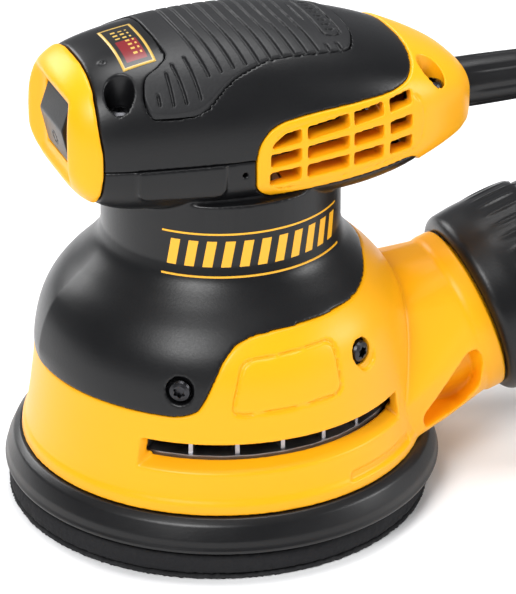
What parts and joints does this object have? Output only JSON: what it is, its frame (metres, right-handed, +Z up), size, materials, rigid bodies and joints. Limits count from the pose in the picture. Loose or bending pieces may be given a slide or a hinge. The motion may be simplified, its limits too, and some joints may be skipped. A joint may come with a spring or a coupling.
{
  "type": "orbital sander",
  "caption": "Palm-grip random orbital sander: motor handle with rocker switch, dust shroud, orbiting foam pad, rear dust bag and mains cord.",
  "frame": {"origin": "on the motor axis, in the plane of the pad's working face", "axes": "+Z up along the motor axis, -X towards the switch, +X towards the cord and dust port"},
  "size_m": [0.3062, 0.181, 0.1432],
  "materials": {
    "yellow_plastic": "satin moulded, fine texture",
    "black_plastic": "satin moulded",
    "grip_rubber": "soft matt overmould",
    "black_rubber": "smooth rubber",
    "pad_foam": "cut foam edge",
    "hook_fabric": "hook-and-loop face",
    "bag_fabric": "plain woven nylon",
    "tie_fabric": "hook-and-loop strap",
    "cast_aluminium": "as cast, turned rim",
    "copper": "enamelled copper",
    "brass": "stamped",
    "carbon": "pressed graphite",
    "steel": "bright"
  },
  "bodies": {
    "housing": {"top_cover": "black_plastic", "grip_panel": "grip_rubber", "front_bezel": "yellow_plastic", "rear_vent_cover": "yellow_plastic", "motor_housing": "black_plastic", "dust_shroud": "yellow_plastic", "brake_skirt": "black_rubber", "fan_baffle": "black_plastic", "cover_screw_front_right": "steel", "cover_screw_rear_right": "steel", "shroud_screw_rear_right": "steel", "shroud_screw_front_right": "steel", "cover_screw_front_left": "steel", "cover_screw_rear_left": "steel", "shroud_screw_rear_left": "steel", "shroud_screw_front_left": "steel", "switch_body": "black_plastic", "field_core": "steel", "upper_bearing_bracket": "black_plastic", "upper_bearing_outer": "steel", "lower_bearing_outer": "steel", "field_coil_right": "copper", "brush_holder_right": "brass", "carbon_brush_right": "carbon", "brush_spring_right": "steel", "field_coil_left": "copper", "brush_holder_left": "brass", "carbon_brush_left": "carbon", "brush_spring_left": "steel", "cord_protector": "black_rubber", "cord_clamp": "black_plastic", "power_cord": "black_rubber", "cord_coil": "black_rubber", "coil_tie": "tie_fabric", "power_cord_tail": "black_rubber", "plug_body": "black_rubber", "plug_blade_1": "brass", "plug_blade_2": "brass"},
    "switch": {"switch_rocker": "black_plastic"},
    "armature": {"armature_shaft": "steel", "armature_core": "steel", "armature_winding": "copper", "commutator": "copper", "upper_bearing_inner": "steel", "cooling_fan": "cast_aluminium", "eccentric_hub": "steel", "counterweight": "steel", "pad_bearing_outer": "steel"},
    "pad": {"pad_bearing_inner": "steel", "pad_spindle": "steel", "backing_plate": "black_plastic", "foam_pad": "pad_foam", "hook_face": "hook_fabric", "pad_screw_1": "steel", "pad_screw_2": "steel", "pad_screw_3": "steel"},
    "seal": {"bag_seal_ring": "black_rubber"},
    "bag": {"bag_collar": "black_plastic", "bag_pouch": "bag_fabric"},
    "clip": {"bag_clip": "black_plastic"}
  },
  "joints": [
    {"name": "armature_spin", "type": "hinge", "parent": "housing", "child": "armature", "pos_m": [0, 0, 0.05], "axis": [0, 0, 1], "continuous": true},
    {"name": "pad_spin", "type": "hinge", "parent": "armature", "child": "pad", "pos_m": [-0.0012, 0, 0.02], "axis": [0, 0, 1], "continuous": true},
    {"name": "switch_rock", "type": "hinge", "parent": "housing", "child": "switch", "pos_m": [-0.0436, 0, 0.1185], "axis": [0, 1, 0], "range_deg": [0, 9]},
    {"name": "bag_slide", "type": "slide", "parent": "housing", "child": "seal", "axis": [0.9483, 0, 0.3173], "range_m": [0, 0.045]},
    {"name": "bag_twist", "type": "hinge", "parent": "seal", "child": "bag", "pos_m": [0.077, 0, 0.0405], "axis": [0.9483, 0, 0.3173], "range_deg": [-25, 25]},
    {"name": "clip_slide", "type": "slide", "parent": "bag", "child": "clip", "axis": [0, 1, 0], "range_m": [0, 0.05]}
  ]
}
